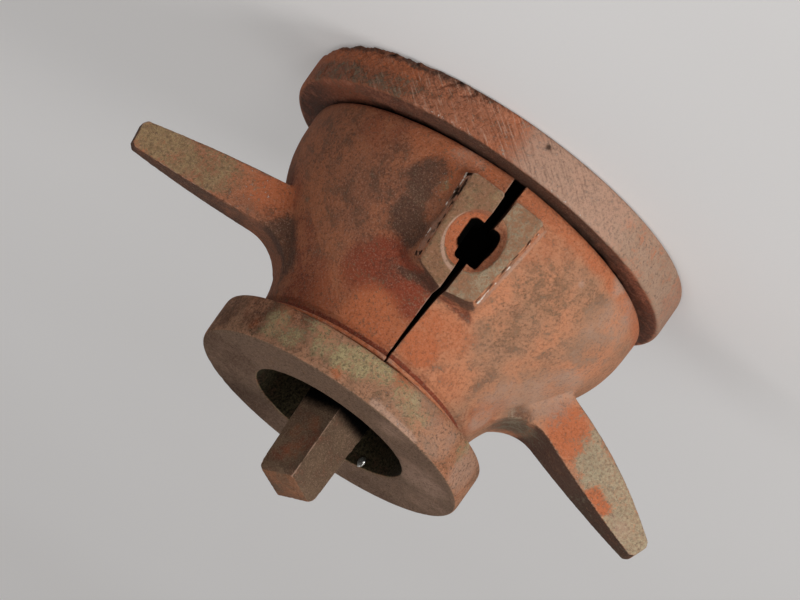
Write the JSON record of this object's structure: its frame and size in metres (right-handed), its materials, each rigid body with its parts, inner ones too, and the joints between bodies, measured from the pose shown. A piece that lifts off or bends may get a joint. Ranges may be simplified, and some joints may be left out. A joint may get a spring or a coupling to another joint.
{
  "type": "casting mould",
  "caption": "Bell-shaped bronze casting mould: two half shells with handles and a split gate, a broad end disc with core, and a ring-shaped core with a square bar.",
  "frame": {"origin": "centre of the large end disc's back face, where the mould stands", "axes": "+Z along the turning axis towards the small end, -Y towards the pouring gate, X along the handles"},
  "size_m": [0.2259, 0.15, 0.1358],
  "materials": {
    "base_disc_core": "ochre-coated cast bronze, rim worn to a dull tan",
    "shell_left": "ochre-coated cast bronze",
    "shell_right": "ochre-coated cast bronze",
    "top_ring_core": "dull brown bronze with green patina",
    "core_bar": "dark worn bronze"
  },
  "bodies": {
    "base": {"base_disc_core": "base_disc_core"},
    "left_half": {"shell_left": "shell_left"},
    "right_half": {"shell_right": "shell_right"},
    "top_core": {"top_ring_core": "top_ring_core", "core_bar": "core_bar"}
  },
  "joints": [
    {"name": "left_half_slide", "type": "slide", "parent": "base", "child": "left_half", "axis": [-1, 0, 0], "range_m": [0, 0.075]},
    {"name": "right_half_slide", "type": "slide", "parent": "base", "child": "right_half", "axis": [1, 0, 0], "range_m": [0, 0.075]},
    {"name": "top_core_slide", "type": "slide", "parent": "base", "child": "top_core", "axis": [0, 0, 1], "range_m": [0, 0.06]}
  ]
}
